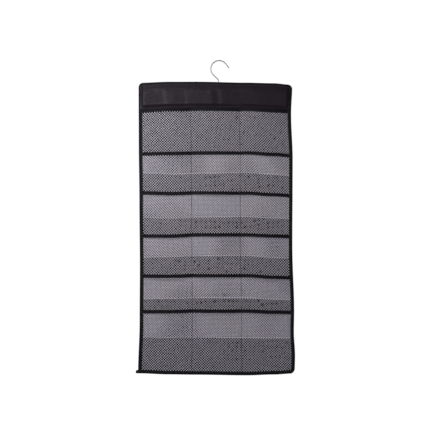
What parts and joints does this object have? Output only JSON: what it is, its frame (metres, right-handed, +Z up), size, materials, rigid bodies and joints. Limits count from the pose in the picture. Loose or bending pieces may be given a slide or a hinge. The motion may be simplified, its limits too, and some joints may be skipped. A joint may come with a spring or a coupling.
{
  "type": "hanging shoe organizer",
  "caption": "Hanging cloth shoe organizer with rows of see-through mesh pockets on a dark backing and a swivelling wire hook.",
  "frame": {"origin": "the hook's seat: the underside of the hook's top, where it rests on a rod", "axes": "+Z up, the front with the pockets faces -Y, +X to the right seen from the front"},
  "size_m": [0.457, 0.0211, 0.911],
  "materials": {
    "bright_wire": "bright plated steel wire",
    "washer_steel": "plain steel",
    "bush_steel": "plain steel",
    "bar_plastic": "moulded, matte",
    "backing_cloth": "black nonwoven, matte",
    "header_cloth": "black nonwoven, satin",
    "binding_tape": "black ribbed tape, matte",
    "pocket_mesh": "light grey knitted mesh, slight sheen",
    "thread": "dark sewing thread"
  },
  "bodies": {
    "hook": {"hook": "bright_wire", "neck_washer": "washer_steel"},
    "organizer": {"swivel_bush": "bush_steel", "hanger_bar": "bar_plastic", "backing_panel": "backing_cloth", "header_front": "header_cloth", "header_binding": "binding_tape", "header_edge_stitching": "thread", "header_lower_seam": "thread", "side_binding_left": "binding_tape", "side_binding_right": "binding_tape", "bottom_binding": "binding_tape", "binding_stitching": "thread", "pocket_mesh_row_1": "pocket_mesh", "pocket_mesh_row_2": "pocket_mesh", "pocket_mesh_row_3": "pocket_mesh", "pocket_mesh_row_4": "pocket_mesh", "pocket_mesh_row_5": "pocket_mesh", "pocket_mesh_row_6": "pocket_mesh", "hem_tape_row_1": "binding_tape", "hem_tape_row_2": "binding_tape", "hem_tape_row_3": "binding_tape", "hem_tape_row_4": "binding_tape", "hem_tape_row_5": "binding_tape", "hem_tape_row_6": "binding_tape", "hem_stitching": "thread", "pocket_bottom_seams": "thread", "divider_seam_left": "thread", "divider_seam_right": "thread"}
  },
  "joints": [
    {"name": "hook_swivel", "type": "hinge", "parent": "hook", "child": "organizer", "pos_m": [-0.002, 0, -0.0676], "axis": [0, 0, 1], "continuous": true}
  ]
}
